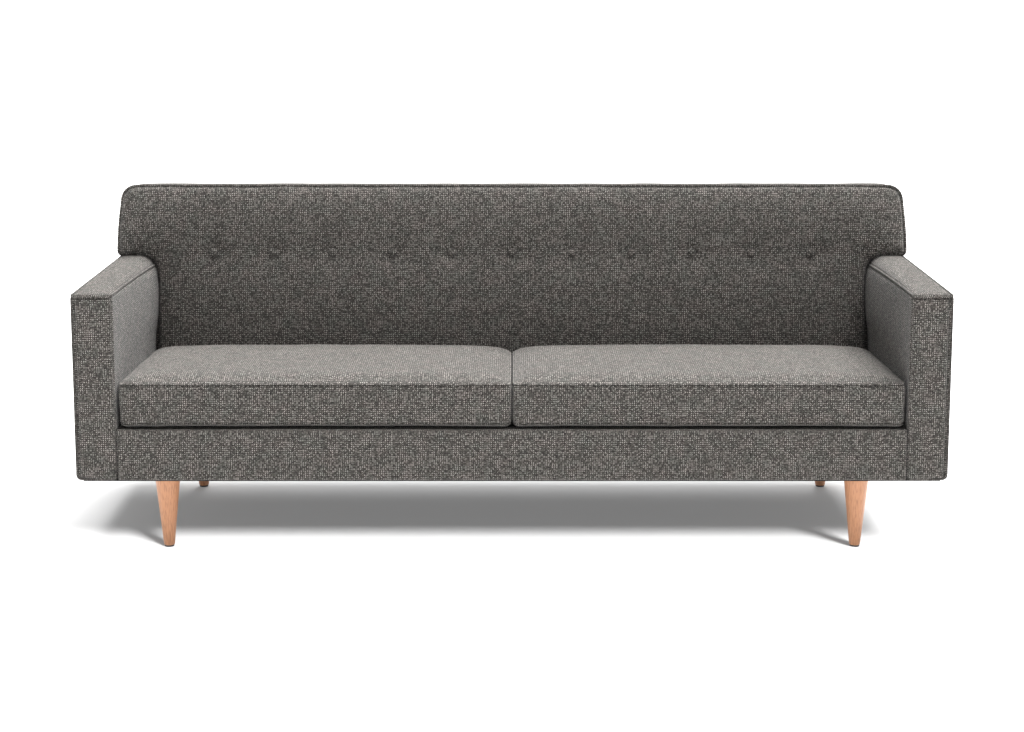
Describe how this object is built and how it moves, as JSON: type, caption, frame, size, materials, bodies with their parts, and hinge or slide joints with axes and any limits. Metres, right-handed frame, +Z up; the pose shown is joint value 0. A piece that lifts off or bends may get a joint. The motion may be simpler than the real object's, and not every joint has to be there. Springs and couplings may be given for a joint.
{
  "type": "sofa",
  "caption": "Upholstered sofa with a T-shaped buttoned back, slim square arms, loose seat cushions and turned wooden legs.",
  "frame": {"origin": "on the floor, under the middle of the sofa's box", "axes": "+X across the sofa to the right of a viewer in front of it, -Y towards that viewer, +Z up"},
  "size_m": [2.16, 0.815, 0.8494],
  "materials": {
    "upholstery": "charcoal salt-and-pepper tweed weave",
    "foam": "open-cell cream foam",
    "fibre_wrap": "white polyester fibre",
    "felt": "matted grey felt",
    "dust_cloth": "black non-woven cloth",
    "webbing": "ribbed black elastic",
    "twine": "waxed twine",
    "zip_tape": "black woven tape",
    "frame_wood": "bare sanded hardwood and plywood",
    "leg_wood": "satin lacquered beech",
    "steel": "zinc plated",
    "zip_metal": "gunmetal plated",
    "glide_plastic": "moulded nylon"
  },
  "bodies": {
    "root": {"front_rail": "frame_wood", "rear_rail": "frame_wood", "left_side_rail": "frame_wood", "right_side_rail": "frame_wood", "centre_rail": "frame_wood", "spring_rail": "frame_wood", "leg_blocks": "frame_wood", "seat_springs": "steel", "spring_clips": "steel", "deck_pad": "felt", "deck_cloth": "upholstery", "front_panel_pad": "foam", "front_panel_cover": "upholstery", "dust_cover": "dust_cloth", "front_left_leg": "leg_wood", "front_right_leg": "leg_wood", "rear_left_leg": "leg_wood", "rear_right_leg": "leg_wood", "hanger_bolts": "steel", "tee_nuts": "steel", "leg_glides": "glide_plastic", "arm_bolts": "steel", "left_arm_front_post": "frame_wood", "left_arm_rear_post": "frame_wood", "left_arm_top_rail": "frame_wood", "left_arm_bottom_rail": "frame_wood", "left_arm_foam": "foam", "left_arm_cover": "upholstery", "left_arm_piping": "upholstery", "right_arm_front_post": "frame_wood", "right_arm_rear_post": "frame_wood", "right_arm_top_rail": "frame_wood", "right_arm_bottom_rail": "frame_wood", "right_arm_foam": "foam", "right_arm_cover": "upholstery", "right_arm_piping": "upholstery", "back_posts": "frame_wood", "back_top_rail": "frame_wood", "back_middle_rail": "frame_wood", "back_bottom_rail": "frame_wood", "left_ear_block": "frame_wood", "right_ear_block": "frame_wood", "back_webbing": "webbing", "back_foam_pad": "foam", "back_cover": "upholstery", "back_piping": "upholstery", "outside_back": "upholstery", "back_buttons": "upholstery", "button_twine": "twine"},
    "left_cushion": {"left_cushion_core": "foam", "left_cushion_wrap": "fibre_wrap", "left_cushion_cover": "upholstery", "left_zip_tape": "zip_tape"},
    "right_cushion": {"right_cushion_core": "foam", "right_cushion_wrap": "fibre_wrap", "right_cushion_cover": "upholstery", "right_zip_tape": "zip_tape"},
    "left_zip": {"left_zip_slider": "zip_metal"},
    "right_zip": {"right_zip_slider": "zip_metal"}
  },
  "joints": [
    {"name": "left_cushion_lift", "type": "slide", "parent": "root", "child": "left_cushion", "axis": [0, 0, 1], "range_m": [0, 0.36]},
    {"name": "right_cushion_lift", "type": "slide", "parent": "root", "child": "right_cushion", "axis": [0, 0, 1], "range_m": [0, 0.36]},
    {"name": "left_zip_slide", "type": "slide", "parent": "left_cushion", "child": "left_zip", "axis": [-1, 0, 0], "range_m": [0, 0.738]},
    {"name": "right_zip_slide", "type": "slide", "parent": "right_cushion", "child": "right_zip", "axis": [1, 0, 0], "range_m": [0, 0.738]}
  ]
}
